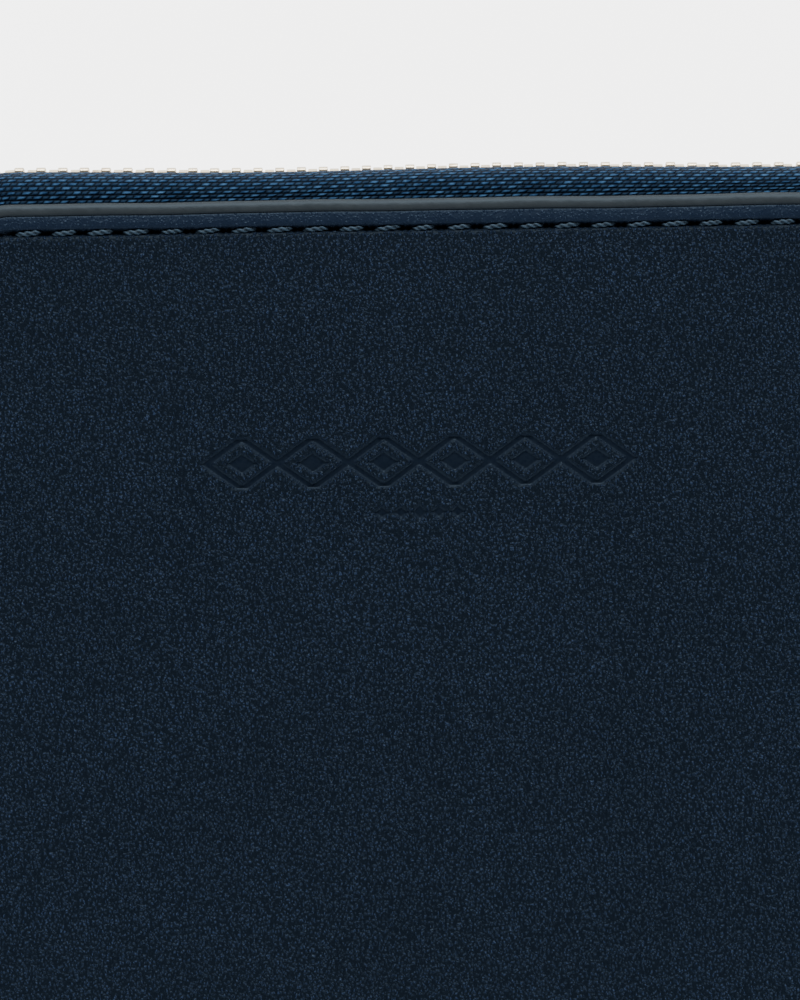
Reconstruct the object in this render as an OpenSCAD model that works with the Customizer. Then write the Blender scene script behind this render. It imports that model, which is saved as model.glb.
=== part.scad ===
// Zip-around passport holder wallet, lying closed on its back cover.
// X runs from the spine to the fore-edge, Y towards the top edge, Z up. Millimetres.

/* [Cover] */
// Width of one cover, from its spine edge to its fore-edge
cover_w = 106; // [92:1:130]
// Height of one cover
cover_h = 150; // [125:1:180]
// Radius of the cover's corners
corner_r = 7; // [6.6:0.1:12]
// Whole thickness of the closed wallet
closed_t = 21; // [19:0.5:30]
// Outer leather thickness
panel_t = 1.4; // [1.2:0.1:2]
// Middle layer thickness: board, tape flange and spine hem
mid_t = 0.6; // [0.5:0.1:1]
// Lining thickness
lining_t = 0.7; // [0.5:0.1:1]

/* [Stitching] */
// Distance of the seam from the cover's edge
seam_in = 3.45; // [2.5:0.05:5]
// Width of the stitch groove
groove_w = 1.3; // [1:0.1:2]
// Depth of the stitch groove
groove_d = 0.65; // [0.6:0.05:0.8]
// Thread thickness
thread_d = 0.6; // [0.4:0.05:0.6]
// Stitch pitch
stitch_pitch = 4; // [3:0.1:5]
// Length of one visible stitch
stitch_l = 2.9; // [2:0.1:3.2]

/* [Zip] */
// How far the tape bulges out past the leather edge
zip_out = 3.7; // [3.2:0.1:5]
// Pitch of the teeth in one row
tooth_pitch = 2.55; // [2.4:0.05:3.2]
// Thickness of one tooth along the chain
tooth_w = 1.1; // [0.9:0.05:1.15]
// Half the chain's thickness
chain_h = 1.3; // [1:0.05:1.4]
// Length of one slider
slider_l = 9; // [8:0.5:11]
// Length of the slider's pull
pull_l = 26; // [20:1:34]
// Width of the slider's pull
pull_w = 6.4; // [5.6:0.2:8]

/* [Inside] */
// Width of the passport pocket
pocket_w = 97; // [80:1:99]
// Height of the passport pocket
pocket_h = 112; // [90:1:130]
// Free depth of the passport pocket
pocket_gap = 5; // [4.5:0.1:6]
// Pocket panel thickness
pocket_t = 1; // [0.8:0.1:1.4]
// Width of the card slots
slot_w = 96; // [90:1:98]
// Card slot sheet thickness
slot_t = 0.7; // [0.5:0.1:0.8]
// Step between card slot mouths
slot_step = 17; // [12:1:20]

/* [Hidden] */
$fn = 48;

hx = cover_w / 2;
hy = cover_h / 2;
mid = closed_t / 2;
cx = hx - corner_r;
cy = hy - corner_r;
cover_t = panel_t + mid_t + lining_t;
flange = min(6, corner_r - 0.6);
tape_h = mid_t / 2;
chain_u = zip_out - 2 * tape_h;
lip = 0.7;
leg = 3.2;
end_a = 50;
stop_a = 41;
part_a = 30;
// hinge axes of the spine
bead_r = 1.4;
axis_in = 1.45;
axis_x = -hx - bead_r - 0.35;
spine_l = cover_h - 6;
// slider
plate = 1;
gap = 0.1;
slider_x = -cx;
post_w = 2.4;
half_mouth = 4.6;
half_tail = 3.95;
notch_x = slider_x + slider_l + 0.5;
notch_z = half_mouth + 0.5;
outer_u = chain_u + chain_h + gap + plate;
pivot_u = outer_u + 0.95;
bar_r = 0.6;
// centring
ox = -(zip_out - 2 * tape_h + chain_h - (bead_r * 2 + 0.35)) / 2;
oy = (pivot_u + 1.45 - chain_u - chain_h) / 2;

navy = [0.09, 0.14, 0.21];
lining_c = [0.12, 0.16, 0.24];
thread_c = [0.28, 0.34, 0.42];
tape_c = [0.07, 0.14, 0.24];
gold = [0.80, 0.72, 0.55];
board_c = [0.62, 0.56, 0.47];

module place() translate([ox, oy, 0]) children();
module flip() translate([0, 0, closed_t]) mirror([0, 0, 1]) children();

module rrect(w, h, r) {
    square([w - 2 * r, h], center = true);
    square([w, h - 2 * r], center = true);
    for (sx = [-1, 1], sy = [-1, 1])
        translate([sx * (w / 2 - r), sy * (h / 2 - r)]) circle(r);
}
module slab(w, h, r, z, t) translate([0, 0, z]) linear_extrude(t) rrect(w, h, r);

// ---- one cover, as the back one lies ----
module panel() {
    difference() {
        slab(cover_w, cover_h, corner_r, 0, panel_t);
        translate([0, 0, -1]) linear_extrude(1 + groove_d) difference() {
            rrect(cover_w - 2 * seam_in + groove_w, cover_h - 2 * seam_in + groove_w,
                corner_r - seam_in + groove_w / 2);
            rrect(cover_w - 2 * seam_in - groove_w, cover_h - 2 * seam_in - groove_w,
                corner_r - seam_in - groove_w / 2);
        }
    }
}
module board() slab(cover_w - 2 * flange - 0.8, cover_h - 2 * flange - 0.8, 3, panel_t, mid_t);
module lining() slab(cover_w - 1.2, cover_h - 1.2, corner_r - 0.6, panel_t + mid_t, lining_t);
module hem() translate([-hx + 0.1, -cy + 5, panel_t]) cube([flange - 0.1, 2 * cy - 10, mid_t]);

module stitch(l) translate([-l / 2, 0, 0]) rotate([0, 90, 0]) cylinder(h = l, d = thread_d, $fn = 24);
module stitch_run(l, pitch, sl) {
    n = floor(l / pitch);
    for (i = [0:n - 1]) translate([(i + 0.5) * l / n - l / 2, 0, 0]) stitch(sl);
}
module stitching() translate([0, 0, groove_d - thread_d / 2]) {
    r = corner_r - seam_in;
    for (s = [-1, 1]) {
        translate([0, s * (hy - seam_in), 0]) stitch_run(2 * cx, stitch_pitch, stitch_l);
        translate([s * (hx - seam_in), 0, 0]) rotate([0, 0, 90]) stitch_run(2 * cy, stitch_pitch, stitch_l);
        for (t = [-1, 1]) translate([s * (cx + r * 0.7071), t * (cy + r * 0.7071), 0])
            rotate([0, 0, s * t * -45]) stitch(min(stitch_l, r * 0.7));
    }
}

// ---- zip tape: a section swept round three sides ----
function bez(a, b, c, d, t) = pow(1 - t, 3) * a + 3 * t * pow(1 - t, 2) * b + 3 * t * t * (1 - t) * c + t * t * t * d;
z0 = panel_t + tape_h;
zb = z0 + (mid - leg - z0) * 0.5;
bulge = chain_u + tape_h;
rise = [[bulge, zb], [chain_u + tape_h * 0.55, (zb + mid - leg) / 2 + 0.3], [chain_u, mid - leg], [chain_u, mid - lip]];
foot = concat([[-flange, z0], [0.1, z0]],
    [for (i = [1:4]) bez([0.3, z0], [bulge - 0.9, z0], [bulge, z0 + 1.3], [bulge, zb], i / 5)]);
// the line's distance out at a height
function out_at(z) = lookup(z, [for (p = rise) [p[1], p[0]]]);
cut_z = mid - notch_z;
line = concat(foot, rise);
line_low = concat(foot, [for (i = [0:3]) let (z = zb + (cut_z - zb) * i / 3) [out_at(z), z]]);
line_high = concat([for (i = [0:2]) let (z = cut_z + 0.15 + (mid - leg - cut_z - 0.15) * i / 2) [out_at(z), z]],
    [[chain_u, mid - lip]]);
function dir(a, b) = (b - a) / norm(b - a);
function tangent(p, i) = i == 0 ? dir(p[0], p[1]) : i == len(p) - 1 ? dir(p[i - 1], p[i])
    : dir([0, 0], dir(p[i - 1], p[i]) + dir(p[i], p[i + 1]));
function side(p, i, d) = p[i] + d * [tangent(p, i)[1], -tangent(p, i)[0]];
function outline(p) = concat([for (i = [0:len(p) - 1]) side(p, i, tape_h)],
    [for (i = [len(p) - 1:-1:0]) side(p, i, -tape_h)]);

// Stations round the three sides, each [corner's centre, angle, how far along, line].
function bend(c, a0, a1, n, ln) = [for (i = [0:n]) [c, a0 + (a1 - a0) * i / n, 0, ln]];
function way_mid(ln) = concat(bend([cx, -cy], -90, 0, 16, ln), bend([cx, cy], 0, 90, 16, ln));
function station(s) = [for (q = outline(s[3])) [s[0][0] + s[2] + (corner_r + q[0]) * cos(s[1]),
    s[0][1] + (corner_r + q[0]) * sin(s[1]), q[1]]];
module sweep(st) {
    n = 2 * len(st[0][3]);
    m = len(st) - 1;
    polyhedron(points = [for (s = st) each station(s)], faces = concat(
        [for (k = [0:m - 1], j = [0:n - 1]) let (a = k * n + j, b = k * n + (j + 1) % n) [a, b, b + n]],
        [for (k = [0:m - 1], j = [0:n - 1]) let (a = k * n + j, b = k * n + (j + 1) % n) [a, b + n, a + n]],
        [for (j = [0:n / 2 - 2]) each [[j, n - 1 - j, n - 2 - j], [j, n - 2 - j, j + 1]]],
        [for (j = [0:n / 2 - 2]) each [[m * n + j, m * n + n - 2 - j, m * n + n - 1 - j],
            [m * n + j, m * n + j + 1, m * n + n - 2 - j]]]));
}
bl = [-cx, -cy];
tl = [-cx, cy];
run_1 = notch_x + cx;
module tape() sweep(concat(bend(bl, -90 - end_a, -90, 9, line), way_mid(line), bend(tl, 90, 90 + end_a, 9, line)));
// the other tape, parted at the slider and at the bottom stop
module tape_parted() sweep(concat(bend(bl, -90 - end_a, -90, 9, line_low), [[bl, -90, run_1, line_low]],
    [[bl, -90, run_1 + 0.1, line]], way_mid(line), bend(tl, 90, 90 + part_a, 6, line),
    bend(tl, 90 + part_a + 0.7, 90 + end_a, 3, line_low)));
module tape_stubs() {
    sweep(concat(bend(bl, -90 - end_a, -90, 9, line_high), [[bl, -90, run_1 - 1.4, line_high]]));
    sweep(bend(tl, 90 + stop_a - 2, 90 + end_a, 3, line_high));
}

// ---- zip teeth ----
tooth_pts = [[0.36, -leg], [chain_h - 0.2, -leg], [chain_h, -leg + 0.5], [chain_h, -0.95],
    [0.8, -0.5], [0.62, lip - gap], [-0.62, lip - gap], [-0.8, -0.5], [-chain_h, -0.95], [-chain_h, -leg + 0.5],
    [-chain_h + 0.2, -leg], [-0.36, -leg], [-0.36, -lip + 0.02], [0.36, -lip + 0.02]];
stop_pts = [[0.36, -leg], [chain_h, -leg], [chain_h, -0.45], [0.7, -0.2], [-0.7, -0.2], [-chain_h, -0.45],
    [-chain_h, -leg], [-0.36, -leg], [-0.36, -lip + 0.02], [0.36, -lip + 0.02]];
// tooth at the origin of the edge, outward local -Y, up is row 1 (back) or -1 (front)
module clip(pts, w, row) translate([-w / 2, 0, mid]) rotate([90, 0, 90]) linear_extrude(w)
    mirror([1, 0]) translate([chain_u, 0]) mirror([0, row < 0 ? 1 : 0]) polygon(pts);
function cell(row) = row > 0 ? 0.25 : 0.75;
n_x = round(2 * cx / tooth_pitch);
n_y = round(2 * cy / tooth_pitch);
n_c = floor(1.5708 * (corner_r + chain_u) / tooth_pitch);
module run_teeth(l, n, row, first = 0) {
    for (i = [first:n - 1]) translate([(i + cell(row)) * l / n, 0, 0]) clip(tooth_pts, tooth_w, row);
}
module corner_teeth(n, row) {
    for (i = [0:n - 1]) rotate([0, 0, (i + cell(row)) * 90 / n_c]) translate([0, -corner_r, 0])
        clip(tooth_pts, tooth_w, row);
}
module teeth_bottom(row) translate([-cx, -hy, 0]) run_teeth(2 * cx, n_x, row, ceil((post_w + 1.9) * n_x / (2 * cx)));
module teeth_fore(row) {
    translate([cx, -cy, 0]) corner_teeth(n_c, row);
    translate([hx, -cy, 0]) rotate([0, 0, 90]) run_teeth(2 * cy, n_y, row);
    translate([cx, cy, 0]) rotate([0, 0, 90]) corner_teeth(n_c, row);
}
module teeth_top(row) {
    translate([cx, hy, 0]) rotate([0, 0, 180]) run_teeth(2 * cx, n_x, row);
    translate([-cx, cy, 0]) rotate([0, 0, 180]) corner_teeth(2, row);
}

// ---- back cover ----
module back_panel() color(navy) panel();
module back_board() color(board_c) board();
module back_lining() color(lining_c) lining();
module back_stitching() color(thread_c) stitching();
module back_spine_hem() color(navy) hem();

pocket_y = -hy + 4 + pocket_h / 2;
pocket_z = cover_t + pocket_gap;
wall = 2.6;
pseam = 1.9;
module passport_pocket_panel() color(lining_c) difference() {
    translate([-pocket_w / 2, pocket_y - pocket_h / 2, pocket_z]) cube([pocket_w, pocket_h, pocket_t]);
    // thumb notch and stitch groove
    translate([0, pocket_y + pocket_h / 2 + 5, pocket_z - 1]) cylinder(h = pocket_t + 2, r = 14);
    translate([0, 0, pocket_z + pocket_t - 0.45]) linear_extrude(1) pocket_seam(0.8);
}
module pocket_seam(w) {
    for (s = [-1, 1]) translate([s * (pocket_w / 2 - pseam) - w / 2, pocket_y - pocket_h / 2 + pseam - w / 2])
        square([w, pocket_h - 2 * pseam]);
    translate([-pocket_w / 2 + pseam - w / 2, pocket_y - pocket_h / 2 + pseam - w / 2])
        square([pocket_w - 2 * pseam + w, w]);
}
module passport_pocket_gusset() color(navy) difference() {
    translate([-pocket_w / 2 + 0.2, pocket_y - pocket_h / 2 + 0.2, cover_t]) cube([pocket_w - 0.4, pocket_h - 0.4, pocket_gap]);
    translate([-pocket_w / 2 + 0.2 + wall, pocket_y - pocket_h / 2 + 0.2 + wall, cover_t - 1])
        cube([pocket_w - 0.4 - 2 * wall, pocket_h, pocket_gap + 2]);
}
// folded binding on the pocket's mouth, on each side of the thumb notch
bind_in = sqrt(14 * 14 - 25) + 0.6;
module passport_pocket_binding() color(navy) for (s = [0, 1]) mirror([s, 0])
    translate([bind_in, pocket_y + pocket_h / 2 - 1.2, 0]) rotate([90, 0, 90])
        linear_extrude(pocket_w / 2 - bind_in - wall - 0.9) difference() {
            translate([0, pocket_z - 0.4]) square([1.7, pocket_t + 0.8]);
            translate([-1, pocket_z]) square([2.2, pocket_t]);
        }
module passport_pocket_stitching() color(thread_c) translate([0, 0, pocket_z + pocket_t - 0.2]) {
    for (s = [-1, 1]) translate([s * (pocket_w / 2 - pseam), pocket_y + 0.6, 0]) rotate([0, 0, 90])
        stitch_small(pocket_h - 8);
    translate([0, pocket_y - pocket_h / 2 + pseam, 0]) stitch_small(pocket_w - 8);
}
module stitch_small(l) {
    n = floor(l / 3.6);
    for (i = [0:n - 1]) translate([(i + 0.5) * l / n - l / 2 - 1.3, 0, 0]) rotate([0, 90, 0])
        cylinder(h = 2.6, d = 0.4, $fn = 24);
}

module zip_tape_back() color(tape_c) tape();
module zip_tape_ends() color(tape_c) flip() tape_stubs();
module zip_teeth_back_top() color(gold) teeth_top(1);
module zip_teeth_back_fore() color(gold) teeth_fore(1);
module zip_teeth_back_bottom() color(gold) teeth_bottom(1);
module zip_top_stops() color(gold) translate([-cx, -cy, 0]) rotate([0, 0, -6]) translate([0, -corner_r, 0]) {
    clip(stop_pts, 1.2, 1);
    clip(stop_pts, 1.2, -1);
}
module zip_bottom_stop() color(gold) translate([-cx, cy, 0]) rotate([0, 0, 180 + stop_a])
    translate([0, -corner_r - chain_u, mid]) difference() {
        cube([1.8, 2 * chain_h, 2 * leg], center = true);
        for (s = [-1, 1]) translate([0, 0, s * (leg / 2 + lip / 2)]) cube([4, 0.76, leg - lip + 0.06], center = true);
    }

// ---- spine ----
module spine_panel() color(navy) translate([0, spine_l / 2, 0]) rotate([90, 0, 0]) linear_extrude(spine_l) {
    translate([axis_x, axis_in]) circle(bead_r);
    translate([axis_x, closed_t - axis_in]) circle(bead_r);
    translate([axis_x - 1.3, axis_in]) square([1.2, closed_t - 2 * axis_in]);
}
module spine_lining() color(lining_c) translate([axis_x - 0.1, -spine_l / 2 + 2, axis_in + bead_r + 0.4])
    cube([lining_t, spine_l - 4, closed_t - 2 * (axis_in + bead_r + 0.4)]);

// ---- front cover ----
module front_panel() color(navy) flip() panel();
module front_board() color(board_c) flip() board();
module front_lining() color(lining_c) flip() lining();
module front_stitching() color(thread_c) flip() stitching();
module front_spine_hem() color(navy) flip() hem();
module slip_pocket_panel() color(lining_c)
    translate([-slot_w / 2, -hy + 5, closed_t - cover_t - slot_t]) cube([slot_w, cover_h - 16, slot_t]);
slot_y = -hy + 5;
slot_top = hy - 34;
module card_sheet(k) {
    z = closed_t - cover_t - slot_t * (k + 1);
    y1 = slot_top - slot_step * (k - 1);
    difference() {
        translate([-slot_w / 2, slot_y, z]) cube([slot_w, y1 - slot_y, slot_t]);
        for (s = [-1, 1]) translate([s * (slot_w / 2 - 0.8) - 0.8, y1 - 1, z - 1]) cube([1.6, 3, slot_t + 2]);
        if (k == 4) card_seams(0.7, z - 1, 1.4);
    }
}
module card_slot_1() color(lining_c) card_sheet(1);
module card_slot_2() color(lining_c) card_sheet(2);
module card_slot_3() color(lining_c) card_sheet(3);
module card_slot_4() color(lining_c) card_sheet(4);
module card_seams(w, z, h) {
    y1 = slot_top - slot_step * 3;
    for (s = [-1, 1]) translate([s * (slot_w / 2 - 2) - w / 2, slot_y + 2 - w / 2, z]) cube([w, y1 - slot_y - 4, h]);
    translate([-slot_w / 2 + 2 - w / 2, slot_y + 2 - w / 2, z]) cube([slot_w - 4 + w, w, h]);
}
module card_slot_stitching() color(thread_c) translate([0, 0, closed_t - cover_t - slot_t * 5 + 0.2]) {
    y1 = slot_top - slot_step * 3;
    for (s = [-1, 1]) translate([s * (slot_w / 2 - 2), (slot_y + y1) / 2, 0]) rotate([0, 0, 90])
        stitch_small(y1 - slot_y - 6);
    translate([0, slot_y + 2, 0]) stitch_small(slot_w - 8);
}
module zip_tape_front() color(tape_c) flip() tape_parted();
module zip_teeth_front_top() color(gold) teeth_top(-1);
module zip_teeth_front_fore() color(gold) teeth_fore(-1);
module zip_teeth_front_bottom() color(gold) teeth_bottom(-1);

// ---- slider and pull, on the bottom edge ----
module slider_outline() polygon([[0, -half_mouth + 1.2], [1.2, -half_mouth], [slider_l * 0.5, -half_mouth],
    [slider_l - 0.6, -half_tail], [slider_l, -half_tail + 0.6], [slider_l, half_tail - 0.6],
    [slider_l - 0.6, half_tail], [slider_l * 0.5, half_mouth], [1.2, half_mouth], [0, half_mouth - 1.2]]);
// sheet in the X-Z plane between two distances out from the leather edge
module sheet_u(a, b) translate([slider_x, -hy - a, mid]) rotate([90, 0, 0]) linear_extrude(b - a) children();
module slider_body() color(gold) {
    sheet_u(outer_u - plate, outer_u) slider_outline();
    sheet_u(chain_u - chain_h - gap - plate, chain_u - chain_h - gap) slider_outline();
    // side flanges, clear of the tapes
    sheet_u(outer_u - plate - 0.45, outer_u - plate) flanges();
    sheet_u(chain_u - chain_h - gap, chain_u - tape_h - 0.3) flanges();
    // the post that parts the two tapes
    sheet_u(chain_u - chain_h - gap, outer_u - plate) translate([1, -lip + 0.15]) square([post_w, 2 * lip - 0.3]);
}
module flanges() difference() {
    slider_outline();
    translate([-1, -leg - 0.2]) square([slider_l + 2, 2 * leg + 0.4]);
}
bail_c = slider_l * 0.5;
module slider_bail() color(gold) translate([slider_x, -hy, mid - 1]) linear_extrude(2) difference() {
    union() {
        translate([bail_c, -pivot_u]) circle(1.45);
        translate([bail_c - 2.6, -outer_u - 0.9]) square([5.2, 0.9]);
    }
    translate([bail_c, -pivot_u]) circle(bar_r + 0.15);
    translate([bail_c - 3, -outer_u]) square([6, 3]);
}
module pull_bar() color(gold) translate([slider_x + bail_c, -hy - pivot_u, mid - pull_w / 2]) {
    cylinder(h = pull_w, r = bar_r);
}
module pull_tab() color(gold) translate([slider_x + bail_c, -hy - pivot_u, mid]) rotate([90, 0, 0])
    translate([0, 0, -0.5]) linear_extrude(1) difference() {
        union() {
            translate([0, -pull_w / 2]) square([pull_l - pull_w / 2, pull_w]);
            translate([pull_l - pull_w / 2, 0]) circle(pull_w / 2);
        }
        translate([-1, -1.3]) square([5, 2.6]);
        translate([-1, -pull_w]) square([1 + bar_r + 0.05, 2 * pull_w]);
        translate([pull_l - pull_w / 2 - 0.6, 0]) circle(1.3);
    }

place() back_panel();
place() back_board();
place() back_lining();
place() back_stitching();
place() back_spine_hem();
place() passport_pocket_panel();
place() passport_pocket_gusset();
place() passport_pocket_binding();
place() passport_pocket_stitching();
place() zip_tape_back();
place() zip_tape_ends();
place() zip_teeth_back_top();
place() zip_teeth_back_fore();
place() zip_teeth_back_bottom();
place() zip_top_stops();
place() zip_bottom_stop();
place() spine_panel();
place() spine_lining();
place() front_panel();
place() front_board();
place() front_lining();
place() front_stitching();
place() front_spine_hem();
place() slip_pocket_panel();
place() card_slot_1();
place() card_slot_2();
place() card_slot_3();
place() card_slot_4();
place() card_slot_stitching();
place() zip_tape_front();
place() zip_teeth_front_top();
place() zip_teeth_front_fore();
place() zip_teeth_front_bottom();
place() slider_body();
place() slider_bail();
place() pull_bar();
place() pull_tab();
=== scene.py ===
import math

import bmesh
import bpy
import numpy as np
from mathutils import Matrix, Vector


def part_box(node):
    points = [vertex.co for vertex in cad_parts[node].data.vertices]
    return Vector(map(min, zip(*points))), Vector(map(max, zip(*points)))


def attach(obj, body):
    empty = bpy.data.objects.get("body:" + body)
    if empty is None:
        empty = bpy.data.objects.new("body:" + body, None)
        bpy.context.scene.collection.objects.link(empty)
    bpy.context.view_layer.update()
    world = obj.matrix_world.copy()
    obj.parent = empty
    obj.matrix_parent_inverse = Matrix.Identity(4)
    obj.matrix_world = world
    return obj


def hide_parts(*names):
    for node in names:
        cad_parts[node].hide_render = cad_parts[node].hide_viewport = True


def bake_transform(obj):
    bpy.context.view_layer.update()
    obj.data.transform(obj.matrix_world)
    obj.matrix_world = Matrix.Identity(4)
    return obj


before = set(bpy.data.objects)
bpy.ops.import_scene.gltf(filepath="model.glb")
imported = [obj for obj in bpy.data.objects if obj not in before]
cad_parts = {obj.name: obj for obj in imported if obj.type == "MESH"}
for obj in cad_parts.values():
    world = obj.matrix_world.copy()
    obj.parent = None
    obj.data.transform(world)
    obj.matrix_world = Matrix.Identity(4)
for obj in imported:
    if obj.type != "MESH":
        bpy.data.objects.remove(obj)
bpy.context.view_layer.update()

MM = 0.001
lo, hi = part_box("back_panel")
OX, OY = (lo.x + hi.x) / 2 / MM, (lo.y + hi.y) / 2 / MM      # middle of the covers
HX, HY = (hi.x - lo.x) / 2 / MM, (hi.y - lo.y) / 2 / MM
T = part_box("front_panel")[1].z / MM                          # closed thickness
R = 7.0                                                      # the covers' corner radius
CX, CY = HX - R, HY - R
MID = T / 2
SEAM = 3.45                                                  # the seam, in from the edge
PANEL_T, MID_T = 1.4, 0.6                                    # outer leather, middle layer
CHAIN_U, CHAIN_H = 3.1, 1.3                                  # chain: out past the cover, half thickness
AXIS_X, AXIS_IN, BEAD = -HX - 1.75, 1.45, 1.4                # spine folds: x, height in, radius


# ---------------------------------------------------------------- camera, light, floor
def camera():
    roll = math.radians(0.89)
    view_height = 116.28                                     # mm of the front cover's plane, top to bottom
    dist = 650.0
    cam = bpy.data.cameras.new("camera")
    cam.sensor_width = 36
    cam.lens = 36 * dist / view_height
    cam.clip_end = 20
    ob = bpy.data.objects.new("camera", cam)
    bpy.context.scene.collection.objects.link(ob)
    x, y = OX - 1.14, OY + HY - 35.1
    ob.matrix_world = Matrix.Translation((x * MM, y * MM, (T + dist) * MM)) @ Matrix.Rotation(-roll, 4, "Z")
    bpy.context.scene.camera = ob


def area(name, loc, target, size, power, color=(1, 1, 1), size_y=None):
    li = bpy.data.lights.new(name, "AREA")
    li.energy, li.color = power, color
    li.size = size
    if size_y:
        li.shape, li.size_y = "RECTANGLE", size_y
    ob = bpy.data.objects.new(name, li)
    bpy.context.scene.collection.objects.link(ob)
    ob.location = loc
    ob.rotation_euler = (Vector(target) - Vector(loc)).to_track_quat("-Z", "Y").to_euler()
    ob.visible_camera = False
    return ob


def stage():
    w = bpy.data.worlds.new("studio")
    bpy.context.scene.world = w
    w.use_nodes = True
    bg = w.node_tree.nodes["Background"]
    bg.inputs["Color"].default_value = (0.95, 0.97, 1.0, 1)
    bg.inputs["Strength"].default_value = 0.05
    area("key", (0.0, 1.15, 0.62), (0, 0.02, 0), 0.9, 25, (1, 0.99, 0.97), 0.45)
    area("fill_right", (0.42, -0.52, 0.34), (0.06, -0.05, 0), 0.35, 3.2, (0.90, 0.95, 1))
    area("fill_left", (-0.42, -0.50, 0.34), (-0.06, -0.05, 0), 0.35, 2.8, (0.90, 0.95, 1))
    me = bpy.data.meshes.new("floor")
    s = 3.0
    me.from_pydata([(-s, -s, 0), (s, -s, 0), (s, s, 0), (-s, s, 0)], [], [(0, 1, 2, 3)])
    floor = bpy.data.objects.new("floor", me)
    floor.location = (0, 0, -0.0002)
    bpy.context.scene.collection.objects.link(floor)
    m = bpy.data.materials.new("floor")
    m.use_nodes = True
    b = m.node_tree.nodes["Principled BSDF"]
    b.inputs["Base Color"].default_value = (0.8, 0.8, 0.8, 1)
    b.inputs["Roughness"].default_value = 0.9
    b.inputs["Specular IOR Level"].default_value = 0.1
    b.inputs["Emission Color"].default_value = (1, 1, 1, 1)
    # full brightness only where the floor itself is seen; it throws less light up on the object's sides
    t = m.node_tree
    ray = t.nodes.new("ShaderNodeLightPath")
    seen = t.nodes.new("ShaderNodeMath")
    seen.operation = "MULTIPLY_ADD"
    seen.inputs[1].default_value = 3.3
    seen.inputs[2].default_value = 1.0
    t.links.new(ray.outputs["Is Camera Ray"], seen.inputs[0])
    gloss = t.nodes.new("ShaderNodeMath")
    gloss.operation = "MULTIPLY_ADD"
    gloss.inputs[1].default_value = 0.6
    t.links.new(ray.outputs["Is Glossy Ray"], gloss.inputs[0])
    t.links.new(seen.outputs[0], gloss.inputs[2])
    t.links.new(gloss.outputs[0], b.inputs["Emission Strength"])
    me.materials.append(m)


camera()
stage()


# ---------------------------------------------------------------- materials
class Nodes:
    def __init__(self, name):
        self.m = bpy.data.materials.new(name)
        self.m.use_nodes = True
        self.t = self.m.node_tree
        self.b = self.t.nodes["Principled BSDF"]

    def add(self, kind, **kw):
        n = self.t.nodes.new(kind)
        for k, v in kw.items():
            setattr(n, k, v)
        return n

    def link(self, a, b):
        self.t.links.new(a, b)

    def math(self, op, a, b=None, c=None, clamp=False):
        n = self.add("ShaderNodeMath", operation=op, use_clamp=clamp)
        for i, v in enumerate((a, b, c)):
            if v is None:
                continue
            if isinstance(v, (int, float)):
                n.inputs[i].default_value = v
            else:
                self.link(v, n.inputs[i])
        return n.outputs[0]

    def mix(self, f, a, b):
        n = self.add("ShaderNodeMix", data_type="RGBA")
        for sock, v in ((n.inputs[0], f), (n.inputs[6], a), (n.inputs[7], b)):
            if isinstance(v, (int, float)):
                sock.default_value = v
            elif isinstance(v, tuple):
                sock.default_value = (*v, 1) if len(v) == 3 else v
            else:
                self.link(v, sock)
        return n.outputs[2]

    def coords(self):
        return self.add("ShaderNodeTexCoord").outputs["Object"]

    def noise(self, vec, scale, detail=2.0, rough=0.5):
        n = self.add("ShaderNodeTexNoise")
        n.inputs["Scale"].default_value = scale
        n.inputs["Detail"].default_value = detail
        n.inputs["Roughness"].default_value = rough
        self.link(vec, n.inputs["Vector"])
        return n.outputs[0]

    def voronoi(self, vec, scale, feature, smooth=None):
        n = self.add("ShaderNodeTexVoronoi", feature=feature)
        n.inputs["Scale"].default_value = scale
        if smooth is not None:
            n.inputs["Smoothness"].default_value = smooth
        self.link(vec, n.inputs["Vector"])
        return n.outputs[0]

    def ramp(self, v, a, b, lo_=0.0, hi_=1.0):
        n = self.add("ShaderNodeMapRange", interpolation_type="SMOOTHSTEP")
        n.inputs[1].default_value, n.inputs[2].default_value = a, b
        n.inputs[3].default_value, n.inputs[4].default_value = lo_, hi_
        self.link(v, n.inputs[0])
        return n.outputs[0]

    def attr(self, name):
        return self.add("ShaderNodeAttribute", attribute_name=name).outputs["Fac"]

    def bump(self, h, strength, distance):
        n = self.add("ShaderNodeBump")
        n.inputs["Strength"].default_value = strength
        n.inputs["Distance"].default_value = distance
        self.link(h, n.inputs["Height"])
        return n.outputs[0]

    def set(self, **kw):
        for k, v in kw.items():
            s = self.b.inputs[k.replace("_", " ")]
            if isinstance(v, (int, float)):
                s.default_value = v
            elif isinstance(v, tuple):
                s.default_value = (*v, 1)
            else:
                self.link(v, s)
        return self.m


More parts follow.
